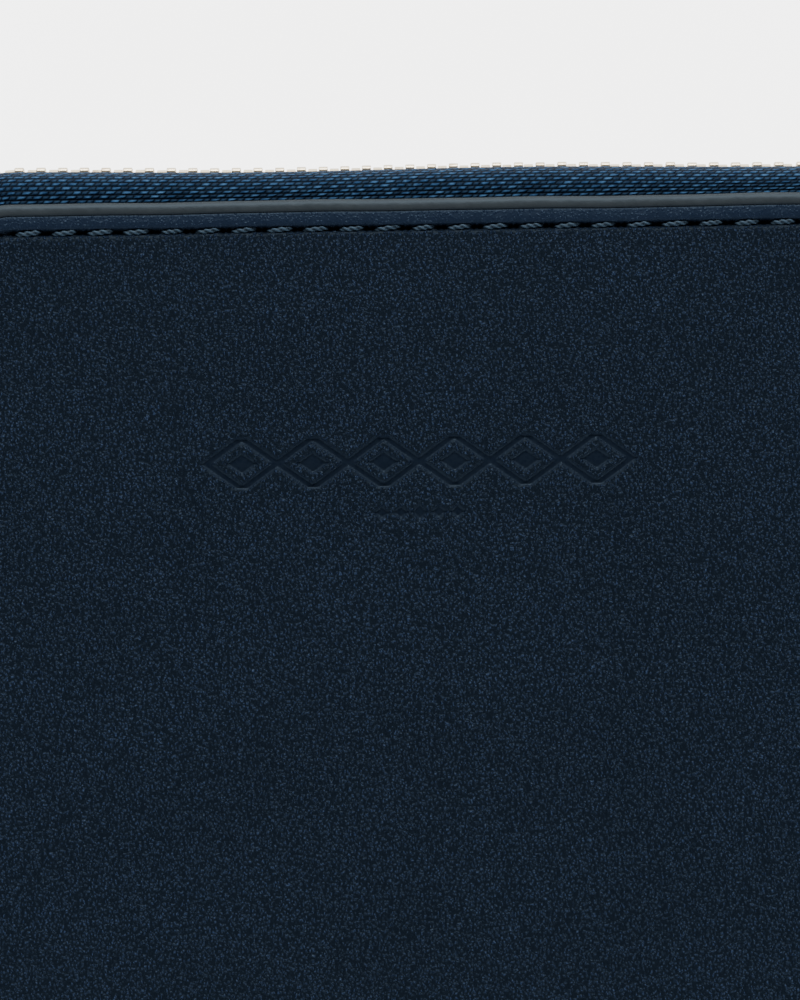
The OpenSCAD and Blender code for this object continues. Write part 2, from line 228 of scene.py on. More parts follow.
def leather(name, base, highlight, grain, bump, rough, depth, edge=False):
    """Pebbled leather. grain is cells per metre.
    With edge, the mesh's edge attribute turns it to smooth edge paint."""
    n = Nodes(name)
    v = n.coords()
    warp = n.add("ShaderNodeVectorMath", operation="MULTIPLY_ADD")
    ns = n.add("ShaderNodeTexNoise")
    ns.inputs["Scale"].default_value = grain * 0.55
    ns.inputs["Detail"].default_value = 1.5
    n.link(v, ns.inputs["Vector"])
    n.link(ns.outputs["Color"], warp.inputs[0])
    warp.inputs[1].default_value = (1.3 / grain,) * 3
    n.link(v, warp.inputs[2])
    w = warp.outputs[0]
    cells = n.voronoi(w, grain, "SMOOTH_F1", 0.35)
    veins = n.voronoi(w, grain * 0.62, "DISTANCE_TO_EDGE")
    fine = n.noise(v, grain * 3.2, 2.0, 0.6)
    big = n.noise(v, 55.0, 3.0, 0.55)
    mid = n.noise(v, 420.0, 2.0, 0.5)
    pebble = n.ramp(cells, 0.05, 0.62, 1.0, 0.0)
    crease = n.ramp(veins, 0.0, 0.2)
    h = n.math("MULTIPLY", pebble, n.math("MULTIPLY_ADD", crease, 0.65, 0.35))
    # Colour follows the grain: pebble tops take the lighter colour as painted highlight, valleys and creases
    # the dark one as painted shade; the slow large noise is the leather's own uneven tone.
    tone_and_shade = n.math("MULTIPLY", n.math("MULTIPLY_ADD", big, 0.7, 0.35), n.math("POWER", h, 1.15), clamp=True)
    h = n.math("MULTIPLY_ADD", fine, 0.2, h)
    h = n.math("MULTIPLY_ADD", mid, 0.3, h)
    if edge:
        flat = n.attr("strip")
        calm = n.math("MULTIPLY", flat, 0.85, clamp=True)
        tone_and_shade = n.math("MULTIPLY_ADD", n.math("SUBTRACT", 0.2, tone_and_shade), calm, tone_and_shade)
    col = n.mix(tone_and_shade, base, highlight)
    r = n.math("MULTIPLY_ADD", n.math("MULTIPLY", pebble, -1.0), rough[1] - rough[0], rough[1])
    r = n.math("MULTIPLY_ADD", big, 0.12, r)
    if edge:
        e = n.attr("edge")
        paint = n.noise(v, 700.0, 3.0, 0.6)
        col = n.mix(e, col, n.mix(paint, (0.020, 0.025, 0.029), (0.036, 0.042, 0.047)))
        keep = n.math("MULTIPLY_ADD", e, -0.93, 1.0)
        smooth = n.math("MULTIPLY_ADD", flat, -0.68, 1.0, clamp=True)
        h = n.math("MULTIPLY", h, n.math("MULTIPLY", keep, smooth))
        r = n.math("MULTIPLY_ADD", e, n.math("SUBTRACT", 0.5, r), r)
        # Painted shade: the groove attribute darkens the stitch groove, stitch holes, crease and pressed
        # ornament.
        g = n.attr("groove")
        col = n.mix(n.math("MULTIPLY", g, 0.75), col, (0.002, 0.004, 0.008))
        h = n.math("MULTIPLY_ADD", paint, n.math("MULTIPLY", e, 0.35), h)
    return n.set(Base_Color=col, Roughness=r, Normal=n.bump(h, bump, depth), Specular_IOR_Level=0.23,
                 Specular_Tint=(0.56, 0.78, 1.0))


def metal(name, base, dark, rough, metallic=1.0):
    n = Nodes(name)
    v = n.coords()
    a = n.noise(v, 900.0, 3.0, 0.6)
    b = n.noise(v, 4500.0, 2.0, 0.7)
    c = n.noise(v, 260.0, 2.0, 0.5)
    tarn = n.ramp(c, 0.52, 0.8)
    col = n.mix(n.math("MULTIPLY", tarn, 0.6), n.mix(a, base, tuple(x * 0.86 for x in base)), dark)
    r = n.math("MULTIPLY_ADD", b, 0.16, n.math("MULTIPLY_ADD", tarn, 0.15, rough))
    return n.set(Base_Color=col, Metallic=metallic, Roughness=r, Normal=n.bump(b, 0.12, 0.00004))


def weave(name):
    """Twill zip tape: raised floats in rows, from the mesh's weave UV in millimetres."""
    row_pitch, repeat, step = 0.46, 1.95, 0.37                # mm, mm, and a row's shift as a share of repeat
    n = Nodes(name)

    def hump(x, half, power):
        """1 in the middle, falling to 0 at half a width from it."""
        return n.math("SUBTRACT", 1.0, n.math("POWER", n.math("DIVIDE", x, half), power), clamp=True)

    uv = n.add("ShaderNodeUVMap", uv_map="weave").outputs[0]
    sep = n.add("ShaderNodeSeparateXYZ")
    n.link(uv, sep.inputs[0])
    along, across = sep.outputs[0], sep.outputs[1]
    wobble = n.noise(n.coords(), 900.0, 1.0)
    s = n.math("MULTIPLY_ADD", wobble, 0.35, along)
    t = n.math("DIVIDE", n.math("MULTIPLY_ADD", wobble, 0.06, across), row_pitch)
    row = n.math("FLOOR", t)
    in_row = n.math("SUBTRACT", n.math("FRACT", t), 0.5)
    in_float = n.math("FRACT", n.math("MULTIPLY_ADD", row, step, n.math("DIVIDE", s, repeat)))
    in_float = n.math("SUBTRACT", in_float, 0.5)
    in_float = n.math("MULTIPLY_ADD", in_row, 0.16, in_float)
    off_middle = n.math("ABSOLUTE", in_float)
    high = hump(off_middle, 0.29, 2.4)
    low = hump(n.math("SUBTRACT", 0.5, off_middle), 0.21, 2.4)
    body = hump(n.math("ABSOLUTE", in_row), 0.46, 2.0)
    f = n.math("POWER", n.math("MULTIPLY", n.math("MULTIPLY_ADD", low, 0.34, high), body), 0.75)
    fibre = n.add("ShaderNodeTexNoise")
    stretched = n.add("ShaderNodeCombineXYZ")
    n.link(n.math("MULTIPLY", along, 1.2), stretched.inputs[0])
    n.link(n.math("MULTIPLY", across, 14.0), stretched.inputs[1])
    n.link(stretched.outputs[0], fibre.inputs["Vector"])
    fibre.inputs["Scale"].default_value = 1.0
    fibre.inputs["Detail"].default_value = 2.0
    vary = n.math("MULTIPLY_ADD", n.noise(n.coords(), 240.0, 2.0), 1.2, 0.6)
    tuft = n.ramp(n.noise(n.coords(), 1300.0, 1.0), 0.3, 0.75)
    shade = n.math("MULTIPLY", n.math("MULTIPLY", fibre.outputs[0], tuft), vary, clamp=True)
    lit = n.mix(shade, (0.010, 0.040, 0.105), (0.075, 0.190, 0.380))
    # Painted shade between the yarns: gaps and low floats go near black, raised floats take the lit colour.
    col = n.mix(n.math("POWER", f, 1.25), (0.0008, 0.0022, 0.006), lit)
    h = n.math("MULTIPLY_ADD", fibre.outputs[0], 0.2, f)
    return n.set(Base_Color=col, Roughness=0.6, Normal=n.bump(h, 1.0, 0.0003), Specular_IOR_Level=0.12,
                 Specular_Tint=(0.5, 0.75, 1.0))


def thread(name):
    """Waxed thread. The mesh's attribute is 0 between the plies and towards each stitch's ends and 1 on the
    plies: painted shade in the twist's grooves and at the ends, with the ply crests lighter as painted
    highlight.
    """
    n = Nodes(name)
    v = n.coords()
    k = n.noise(v, 5200.0, 3.0, 0.7)
    c = n.noise(v, 320.0, 2.0)
    ply_shade = n.attr("ply_shade")
    f = n.math("MULTIPLY", n.math("MULTIPLY_ADD", c, 0.5, n.math("MULTIPLY", k, 0.75)), ply_shade, clamp=True)
    lit = n.mix(f, (0.016, 0.027, 0.042), (0.060, 0.098, 0.142))
    return n.set(Base_Color=n.mix(ply_shade, (0.002, 0.004, 0.008), lit), Roughness=0.5,
                 Normal=n.bump(k, 0.35, 0.00006), Specular_IOR_Level=0.25,
                 Specular_Tint=(0.6, 0.8, 1.0))


def card(name):
    n = Nodes(name)
    v = n.coords()
    k = n.noise(v, 1500.0, 4.0, 0.7)
    col = n.mix(k, (0.24, 0.20, 0.15), (0.42, 0.36, 0.28))
    return n.set(Base_Color=col, Roughness=0.85, Normal=n.bump(k, 0.3, 0.0001))


# The dark navy fills the grain's valleys as painted shade; the lighter navy colours the pebble tops as
# painted highlight.
NAVY, NAVY_HIGHLIGHT = (0.0014, 0.0036, 0.0090), (0.0350, 0.0610, 0.1320)
PEBBLED = dict(grain=2900.0, bump=1.0, rough=(0.31, 0.5))
M_COVER = leather("cover_leather", NAVY, NAVY_HIGHLIGHT, **PEBBLED, depth=0.00021, edge=True)
M_SPINE = leather("spine_leather", NAVY, NAVY_HIGHLIGHT, **PEBBLED, depth=0.00018)
M_LINING = leather("lining_leather", (0.0085, 0.0150, 0.0290), (0.0150, 0.0250, 0.0440),
                   grain=3600.0, bump=0.28, rough=(0.5, 0.66), depth=0.00007)
M_POCKET = leather("pocket_leather", (0.0065, 0.0125, 0.0250), (0.0120, 0.0210, 0.0380),
                   grain=3000.0, bump=0.36, rough=(0.46, 0.62), depth=0.00008)
M_TAPE = weave("zip_tape")
M_THREAD = thread("seam_thread")
M_TOOTH = metal("tooth_metal", (0.93, 0.80, 0.58), (0.26, 0.15, 0.07), 0.26, 0.96)
M_SLIDER = metal("slider_metal", (0.66, 0.51, 0.30), (0.30, 0.20, 0.10), 0.24)
M_BOARD = card("stiffener_board")


# ---------------------------------------------------------------- mesh helpers
def make(name, verts, faces, mat, body=None, nodes=(), smooth=True, uv=None, attrs=None):
    """A mesh from points in millimetres. uv is one pair for each vertex."""
    me = bpy.data.meshes.new(name)
    v = np.asarray(verts, float) * MM
    if isinstance(faces, np.ndarray):
        me.vertices.add(len(v))
        me.vertices.foreach_set("co", v.astype(np.float32).ravel())
        k = faces.shape[1]
        me.loops.add(faces.size)
        me.loops.foreach_set("vertex_index", faces.astype(np.int32).ravel())
        me.polygons.add(len(faces))
        me.polygons.foreach_set("loop_start", np.arange(0, faces.size, k, dtype=np.int32))
        me.update(calc_edges=True)
    else:
        me.from_pydata([tuple(p) for p in v], [], faces)
    me.validate()
    me.polygons.foreach_set("use_smooth", np.full(len(me.polygons), smooth))
    if uv is not None:
        layer = me.uv_layers.new(name="weave")
        idx = np.empty(len(me.loops), np.int32)
        me.loops.foreach_get("vertex_index", idx)
        layer.data.foreach_set("uv", np.asarray(uv, np.float32)[idx].ravel())
    for k, a in (attrs or {}).items():
        me.attributes.new(k, "FLOAT", "POINT").data.foreach_set("value", np.asarray(a, np.float32))
    me.materials.append(mat)
    ob = bpy.data.objects.new(name, me)
    bpy.context.scene.collection.objects.link(ob)
    if body:
        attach(ob, body)
    if nodes:
        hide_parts(*nodes)
    return ob


def grid_faces(n, m, wrap_n=False, wrap_m=False, flip=False):
    """Quads of an n by m grid of vertices, row by row."""
    i = np.arange(n if wrap_n else n - 1)[:, None]
    j = np.arange(m if wrap_m else m - 1)[None, :]
    a = i * m + j
    b = ((i + 1) % n) * m + j
    c = ((i + 1) % n) * m + (j + 1) % m
    d = i * m + (j + 1) % m
    f = np.stack([a, b, c, d], -1).reshape(-1, 4)
    return f[:, ::-1].copy() if flip else f


def capped(n, m):
    """Faces of n rings of m vertices each, closed at both ends."""
    quads = [tuple(q) for q in grid_faces(n, m, wrap_m=True)]
    return quads + [tuple(range(m))[::-1], tuple((n - 1) * m + k for k in range(m))]


def border_ring(n, m):
    """The vertex numbers round the border of an n by m grid."""
    return np.concatenate([np.arange(m), np.arange(1, n) * m + m - 1,
                           (n - 1) * m + np.arange(m - 2, -1, -1), np.arange(n - 2, 0, -1) * m])


def round_corners(X, Y, cx, cy, r):
    """Bends the corner cells of a square grid, so that its lines follow round corners of radius r."""
    a, c = (np.abs(X) - cx) / r, (np.abs(Y) - cy) / r
    corner = (a > 0) & (c > 0)
    rho, low = np.maximum(a, c), np.minimum(a, c)
    phi = math.pi / 4 * low / np.where(corner, rho, 1)
    px = np.where(a >= c, rho * np.cos(phi), rho * np.sin(phi))
    py = np.where(a >= c, rho * np.sin(phi), rho * np.cos(phi))
    return (np.where(corner, np.sign(X) * (cx + r * px), X),
            np.where(corner, np.sign(Y) * (cy + r * py), Y))


def turn_out(ob):
    """Turns every face's normal outwards."""
    bm = bmesh.new()
    bm.from_mesh(ob.data)
    bmesh.ops.recalc_face_normals(bm, faces=bm.faces)
    bm.to_mesh(ob.data)
    bm.free()


def wave(x, y, seed=0.0):
    """A slow smooth wobble between about -1 and 1."""
    return (np.sin(x * 0.061 + 1.3 + seed) * np.cos(y * 0.047 - 0.6 + seed * 2)
            + 0.6 * np.sin(x * 0.137 - y * 0.083 + 2.1 * seed + 0.4)
            + 0.35 * np.sin(x * 0.29 + y * 0.24 + seed)) / 1.6


def spot(t):
    """A smooth step from 0 at t = 0 to 1 at t = 1."""
    return np.clip(t, 0, 1) ** 2 * (3 - 2 * np.clip(t, 0, 1))


# ---------------------------------------------------------------- the seam's stitches
def seam_points():
    """Each stitch on a cover's seam, as in the CAD: middle x and y, its direction and half its length."""
    pitch = 4.0
    out = []
    r = R - SEAM
    for s in (-1, 1):
        n = int(2 * CX // pitch)
        for i in range(n):
            out.append((((i + 0.5) * 2 * CX / n - CX), s * (HY - SEAM), 0.0, 1.52))
        n = int(2 * CY // pitch)
        for i in range(n):
            out.append((s * (HX - SEAM), ((i + 0.5) * 2 * CY / n - CY), math.pi / 2, 1.52))
        for t in (-1, 1):
            out.append((s * (CX + r * 0.7071), t * (CY + r * 0.7071), -s * t * math.pi / 4, 1.2))
    return np.array(out)


STITCHES = seam_points()


def strands(name, places, z_of, body, nodes, sag=0.26, rad=0.31, up=1.0, tilt=0.10):
    """Twisted stitches. places: rows of x, y, angle, half length. z_of is the height of a strand's top."""
    stations, sides = 19, 16
    bow, lobes, turns = 0.12, 3, 0.75
    t = np.linspace(-1, 1, stations)
    k = np.linspace(0, 2 * math.pi, sides, endpoint=False)
    vs, fs, plies, base = [], [], [], 0
    rng = np.random.default_rng(7)
    for x, y, ang, half in places:
        jit = rng.normal(0, 1, 4)
        a = ang + tilt * (0.8 + 0.2 * jit[0])
        taper = np.clip(1 - np.abs(t) ** 6, 0.15, 1) ** 0.5
        l = t * (half + 0.06 * jit[1])
        zc = -(np.abs(t) ** 2.4) * sag + 0.02 * jit[2]
        off = bow * 0.4 * np.sin(t * 2.2 + jit[3] * 0.5)
        ph = t * math.pi * turns * 1.6 + jit[3]
        twist = np.cos(lobes * (k[None, :] - ph[:, None]))
        rr = rad * taper[:, None] * (1 + 0.2 * twist)
        # The thread's painted shade: dark in the twist's grooves and towards each end of a stitch, where it
        # dives into its hole.
        plies.append((spot((twist + 0.95) / 1.1) * np.clip(1.15 - np.abs(t[:, None]) ** 5, 0.1, 1)).ravel())
        px = l[:, None] + 0 * rr
        py = off[:, None] + rr * np.cos(k)[None, :]
        pz = zc[:, None] + rr * np.sin(k)[None, :] - rad
        ca, sa = math.cos(a), math.sin(a)
        wx = x + px * ca - py * sa
        wy = y + px * sa + py * ca
        z = z_of + up * pz
        vs.append(np.stack([wx, wy, z], -1).reshape(-1, 3))
        f = grid_faces(stations, sides, wrap_m=True, flip=up > 0)
        fs.append(f + base)
        base += stations * sides
    v = np.vstack(vs)
    return make(name, v, np.vstack(fs), M_THREAD, body, nodes, attrs={"ply_shade": np.concatenate(plies)})


# ---------------------------------------------------------------- covers
def border_lines():
    """Distances in from a cover's edge of the grid's lines: close together on the edge, crease and groove."""
    edge = [0, 0.03, 0.09, 0.18, 0.3, 0.44, 0.6, 0.78, 0.96, 1.12, 1.24, 1.33, 1.4, 1.46, 1.53, 1.62]
    return np.concatenate([np.array(edge), np.linspace(1.78, 2.62, 5), np.linspace(2.76, 4.14, 15),
                           [4.28, 4.45, 4.7, 5.1, 5.6, 6.2]])


def edge_drop(d):
    """How far the leather's face lies below the cover's outer plane, at a distance in from its edge,
    and how deep in the stitch groove it is, from 0 to 1."""
    round_ = 0.78 * (1 - np.sqrt(np.clip(1 - np.clip(1 - d / 1.28, 0, 1) ** 2.3, 0, 1)))
    crease = 0.15 * np.exp(-((d - 1.42) / 0.10) ** 2)
    strip = 0.05 * (1 - np.clip((d - 1.5) / 0.5, 0, 1)) * (d > 1.42)
    g = spot((d - 2.92) / 0.24) * spot((3.98 - d) / 0.36)
    puff = 0.07 * spot((d - 3.85) / 0.5)
    return round_ + crease + strip + 0.40 * g + 0.06 - puff, g


def lozenge(x, y, half_w, half_h):
    """Distance from a lozenge's outline, negative inside."""
    return (np.abs(x) * half_h + np.abs(y) * half_w - half_w * half_h) / math.hypot(half_w, half_h)


ORN_X, ORN_Y = 1.15, HY - 30.6                               # the ornament's middle


def ornament(x, y):
    """The blind-pressed ornament: a chain of open lozenges with solid ones inside, and a row of small
    ones below. Gives how deep each point is pressed and the leather pushed up round it, from 0 to 1."""
    d = np.full(x.shape, 9.0)
    count, pitch, tall = 6, 8.25, 2.95
    for i in range(count):
        cx_ = (i - (count - 1) / 2) * pitch
        d = np.minimum(d, np.abs(lozenge(x - cx_, y, pitch / 2, tall)) - 0.46)
        d = np.minimum(d, lozenge(x - cx_, y, 1.9, 1.3))
    d = np.where(np.abs(y) > tall, np.maximum(d, np.abs(y) - tall), d)
    for i in range(5):
        d = np.minimum(d, lozenge(x - (i - 2) * 2.2, y + 5.9, 1.0, 1.0 if i == 2 else 0.8))
    return spot(0.5 - d / 0.3), np.exp(-((d - 0.32) / 0.26) ** 2)


def cover(name, node, body, front, fine):
    """A cover's outer leather: painted edge, crease, stitch groove and, where fine, the ornament."""
    b = border_lines()
    step = 0.4 if fine else 0.8
    if not fine:
        b = b[::2] if len(b) % 2 else np.append(b[::2], b[-1])
    inner_x = np.arange(-CX, CX + 1e-6, 2 * CX / round(2 * CX / step))
    inner_y = np.arange(-CY, CY + 1e-6, 2 * CY / round(2 * CY / step))
    xs = np.concatenate([-(HX - b), inner_x, (HX - b)[::-1]])
    ys = np.concatenate([-(HY - b), inner_y, (HY - b)[::-1]])
    if fine:                                                  # finer lines through the ornament
        extra_x = np.arange(-26, 28, 0.16)
        extra_y = np.arange(ORN_Y - 9, ORN_Y + 5.5, 0.16)
        xs = np.unique(np.round(np.concatenate([xs[(xs < -26) | (xs > 28)], extra_x]), 5))
        ys = np.unique(np.round(np.concatenate([ys[(ys < ORN_Y - 9) | (ys > ORN_Y + 5.5)], extra_y]), 5))
    X, Y = np.meshgrid(xs, ys, indexing="ij")
    d = np.minimum(HX - np.abs(X), HY - np.abs(Y))
    X, Y = round_corners(X, Y, CX, CY, R)
    drop, groove = edge_drop(d)
    near = (d > 2.2) & (d < 5.2)
    hx, hy = X[near], Y[near]
    dip, puff = np.zeros(len(hx)), np.zeros(len(hx))
    for x, y, ang, half in STITCHES:
        m = (np.abs(hx - x) < 3.2) & (np.abs(hy - y) < 3.2)
        if not m.any():
            continue
        for e in (-1, 1):
            ex, ey = x + e * (half + 0.22) * math.cos(ang), y + e * (half + 0.22) * math.sin(ang)
            u = (hx[m] - ex) * math.cos(ang) + (hy[m] - ey) * math.sin(ang)
            v = -(hx[m] - ex) * math.sin(ang) + (hy[m] - ey) * math.cos(ang)
            dip[m] = np.maximum(dip[m], np.exp(-(u / 0.36) ** 2 - (v / 0.42) ** 2))
        u = (hx[m] - x) * math.cos(ang) + (hy[m] - y) * math.sin(ang)
        v = -(hx[m] - x) * math.sin(ang) + (hy[m] - y) * math.cos(ang)
        puff[m] += np.exp(-((np.abs(u) - 0.2) / 1.1) ** 2 - ((np.abs(v) - 1.05) / 0.5) ** 2)
    drop[near] += 0.42 * dip - 0.07 * np.clip(puff, 0, 1)
    # Painted shade: the stitch groove, the stitch holes and the crease line are darkened in colour as well as
    # sunk in the mesh.
    dark = groove.copy() * 0.55
    dark[near] = np.maximum(dark[near], dip)
    crease = np.exp(-((d - 1.42) / 0.09) ** 2)
    dark = np.maximum(dark, crease)
    drop += 0.05 * wave(X, Y, 0.0 if front else 3.0) * spot(d / 4)
    press = np.zeros(X.shape)
    if fine:
        press, lip = ornament(X - ORN_X, Y - ORN_Y)
        drop += 0.30 * press - 0.05 * lip
    wob = 0.09 * wave(X * 1.7, Y * 1.7, 1.0 if front else 5.0) * spot(1 - d / 6)
    X = X + wob * (np.abs(X) > CX) * np.sign(X)
    Y = Y + wob * (np.abs(Y) > CY) * np.sign(Y)
    edge = spot((1.52 - d) / 0.14)
    drop = np.clip(drop, 0.0, 1.2)
    n, m = X.shape
    up = -1.0 if front else 1.0
    z0 = T if front else 0.0
    top = np.stack([X + OX, Y + OY, z0 + up * drop], -1).reshape(-1, 3)
    ring = border_ring(n, m)
    verts, faces = [top], [grid_faces(n, m, flip=not front)]
    base = n * m
    prev = ring
    rows = [(0.0, 1.05), (0.04, 1.25), (0.10, PANEL_T)]
    strip = np.maximum(spot((3.35 - d) / 0.4), 1.45 * press)
    # Painted shade in the pressed ornament's hollows as well.
    dark = np.maximum(dark, 0.85 * press)
    att_e, att_g = [edge.ravel()], [dark.ravel()]
    for inset, dz in rows:
        p = top[ring].copy()
        cx_, cy_ = np.clip(p[:, 0] - OX, -CX, CX), np.clip(p[:, 1] - OY, -CY, CY)
        out = np.stack([p[:, 0] - OX - cx_, p[:, 1] - OY - cy_], -1)
        out /= np.linalg.norm(out, axis=1)[:, None]
        p[:, :2] -= out * inset
        p[:, 2] = z0 + up * dz
        now = np.arange(base, base + len(ring))
        base += len(ring)
        f = np.stack([prev, now, np.roll(now, -1), np.roll(prev, -1)], -1)
        faces.append(f if not front else f[:, ::-1])
        verts.append(p)
        att_e.append(np.ones(len(ring)))
        att_g.append(np.zeros(len(ring)))
        prev = now
    mid = np.array([[OX, OY, z0 + up * PANEL_T]])
    v = np.vstack(verts + [mid])
    tri = np.stack([prev, np.full(len(prev), len(v) - 1), np.roll(prev, -1)], -1)
    tri = tri if not front else tri[:, ::-1]
    allf = [tuple(q) for q in np.vstack(faces)] + [tuple(q) for q in tri]
    # The groove attribute carries that painted shade of the groove, holes, crease and ornament.
    attrs = {"edge": np.append(np.concatenate(att_e), 0),
             "groove": np.append(np.concatenate(att_g), 0),
             "strip": np.append(strip.ravel(), np.ones(len(v) - strip.size))}
    return make(name, v, allf, M_COVER, body, (node,), attrs=attrs)


cover("front_cover_leather", "front_panel", "front_cover", True, True)
cover("back_cover_leather", "back_panel", "back_cover", False, False)
PLACES = STITCHES + [OX, OY, 0, 0]
strands("front_seam", PLACES, T - 0.06, "front_cover", ("front_stitching",), up=1.0)
strands("back_seam", PLACES, 0.06, "back_cover", ("back_stitching",), up=-1.0, tilt=-0.10)


# ---------------------------------------------------------------- zip tape and teeth
def bez(a, b, c, d, t):
    """Points of a cubic Bezier curve."""
    wa, wb, wc, wd = (1 - t) ** 3, 3 * t * (1 - t) ** 2, 3 * t * t * (1 - t), t ** 3
    return wa[:, None] * a + wb[:, None] * b + wc[:, None] * c + wd[:, None] * d


TAPE_H = MID_T / 2
Z0 = PANEL_T + TAPE_H
LIP, LEG = 0.7, 3.2
ZB = Z0 + (MID - LEG - Z0) * 0.5
BULGE = CHAIN_U + TAPE_H
END_A, PART_A, STOP_A = 50.0, 30.0, 41.0
SLIDER_X, SLIDER_L = -CX, 9.0
NOTCH_X, NOTCH_Z = SLIDER_X + SLIDER_L + 0.5, 5.1
CUT = MID - NOTCH_Z


def tape_line(z_end=None, z_start=None):
    """Middle line of the tape's section as (out, height), and how far along it each point is."""
    a = np.array([[-6.0, Z0], [0.1, Z0]])
    t = np.linspace(0, 1, 24)[1:]
    b = bez(np.array([0.3, Z0]), np.array([BULGE - 0.9, Z0]), np.array([BULGE, Z0 + 1.3]),
            np.array([BULGE, ZB]), t)
    t = np.linspace(0, 1, 14)[1:]
    c = bez(np.array([BULGE, ZB]), np.array([BULGE, ZB + 1.2]), np.array([CHAIN_U, MID - LEG - 1.0]),
            np.array([CHAIN_U, MID - LEG]), t)
    p = np.vstack([a, b, c, [[CHAIN_U, MID - LIP]]])
    s = np.concatenate([[0], np.cumsum(np.linalg.norm(np.diff(p, axis=0), axis=1))])

    def run_at(z):
        k = np.searchsorted(p[:, 1], z)
        f = (z - p[k - 1, 1]) / (p[k, 1] - p[k - 1, 1])
        return s[k - 1] + f * (s[k] - s[k - 1])

    s_end = s[-1] if z_end is None else run_at(z_end)
    s_start = 0.0 if z_start is None else run_at(z_start)
    fine = np.arange(max(s_start, 5.6), s_end, 0.26)
    q = np.concatenate([[s_start], fine if s_start else np.concatenate([[3.0], fine]), [s_end]])
    q = np.unique(np.round(q, 4))
    return np.stack([np.interp(q, s, p[:, 0]), np.interp(q, s, p[:, 1])], -1), q


def path():
    """Stations round the three sides: centre x, y, angle, run along, and length so far."""
    out, s = [], 0.0
    rr, step = R + CHAIN_U, 0.7

    def bend(cx_, cy_, a0, a1):
        nonlocal s
        n = max(2, int(abs(a1 - a0) / 4))
        for i in range(n + 1):
            a = a0 + (a1 - a0) * i / n
            out.append((cx_, cy_, a, 0.0, s + rr * math.radians(a - a0)))
        s += rr * math.radians(a1 - a0)

    def run(cx_, cy_, a, l):
        nonlocal s
        n = int(l / step)
        for i in range(1, n):
            out.append((cx_, cy_, a, l * i / n, s + l * i / n))
        s += l

    bend(-CX, -CY, -90 - END_A, -90)
    run(-CX, -CY, -90, 2 * CX)
    bend(CX, -CY, -90, 0)
    run(CX, -CY, 0, 2 * CY)
    bend(CX, CY, 0, 90)
    run(CX, CY, 90, 2 * CX)
    bend(-CX, CY, 90, 90 + END_A)
    return np.array(out)


def sway(x, y):
    """How far the zip stands out past its mean line, along the top edge: a slight lean and one slow wave."""
    top = spot((y - (HY - 6)) / 5)
    lean, swing, length, crest, mean = -0.0045, 0.15, 62.0, 14.0, -0.05
    return top * (lean * x + swing * np.cos(2 * math.pi * (x - crest) / length) + mean)


def place(st, u, z):
    """Points of a station at distances out and heights."""
    a = math.radians(st[2])
    dx, dy = math.cos(a), math.sin(a)
    tx, ty = -dy, dx
    x = st[0] + (R + u) * dx + st[3] * tx
    y = st[1] + (R + u) * dy + st[3] * ty
    w = sway(st[0] + R * dx + st[3] * tx, st[1] + R * dy + st[3] * ty) * np.clip(u / 2.0, 0, 1)
    return np.stack([x + w * dx + OX, y + w * dy + OY, z + 0 * x], -1)


def tape_strip(name, stations, line, q, flip_z, body, nodes):
    """One length of tape: the section line thickened and swept through the stations."""
    tan = np.gradient(line, axis=0)
    tan /= np.linalg.norm(tan, axis=1)[:, None]
    nor = np.stack([tan[:, 1], -tan[:, 0]], -1)
    h = TAPE_H - 0.02
    end = np.clip((q[-1] - q) / 0.25, 0.35, 1)[:, None]
    outer, inner = line + nor * h * end, (line - nor * h * end)[::-1]
    sec = np.vstack([outer, inner])
    vq = np.concatenate([q, q[::-1] + 0.1])
    vs, uv = [], []
    for st in stations:
        z = T - sec[:, 1] if flip_z else sec[:, 1]
        vs.append(place(st, sec[:, 0], z))
        uv.append(np.stack([np.full(len(sec), st[4]), vq + (3.7 if flip_z else 0)], -1))
    n, m = len(stations), len(sec)
    f = [tuple(x) for x in grid_faces(n, m, wrap_m=True, flip=flip_z)]
    caps = [tuple(range(m)), tuple((n - 1) * m + k for k in range(m - 1, -1, -1))]
    if flip_z:
        caps = [c[::-1] for c in caps]
    return make(name, np.vstack(vs), f + caps, M_TAPE, body, nodes, uv=np.vstack(uv))


PATH = path()
S_A = (R + CHAIN_U) * math.radians(END_A)
S_NOTCH = S_A + NOTCH_X + CX
S_PART = PATH[-1, 4] - (R + CHAIN_U) * math.radians(END_A - PART_A)
full, qf = tape_line()
low_, ql = tape_line(z_end=CUT)
high, qh = tape_line(z_start=CUT + 0.15)
tape_strip("back_zip_tape", PATH, full, qf, False, "back_cover", ("zip_tape_back",))
main = PATH[(PATH[:, 4] > S_NOTCH) & (PATH[:, 4] < S_PART)]
a_end = PATH[PATH[:, 4] <= S_NOTCH]
b_end = PATH[PATH[:, 4] >= S_PART - 0.8]
tape_strip("front_zip_tape", main, full, qf, True, "front_cover", ("zip_tape_front",))
tape_strip("front_zip_tape_start", a_end, low_, ql, True, "front_cover", ())
tape_strip("front_zip_tape_finish", b_end, low_, ql, True, "front_cover", ())
start = PATH[PATH[:, 4] <= S_NOTCH - 1.3]
tape_strip("zip_tape_stub_start", start, high, qh, True, "back_cover", ("zip_tape_ends",))
S_STUB = PATH[-1, 4] - (R + CHAIN_U) * math.radians(END_A - STOP_A + 2)
tape_strip("zip_tape_stub_finish", PATH[PATH[:, 4] >= S_STUB], high, qh, True, "back_cover", ())


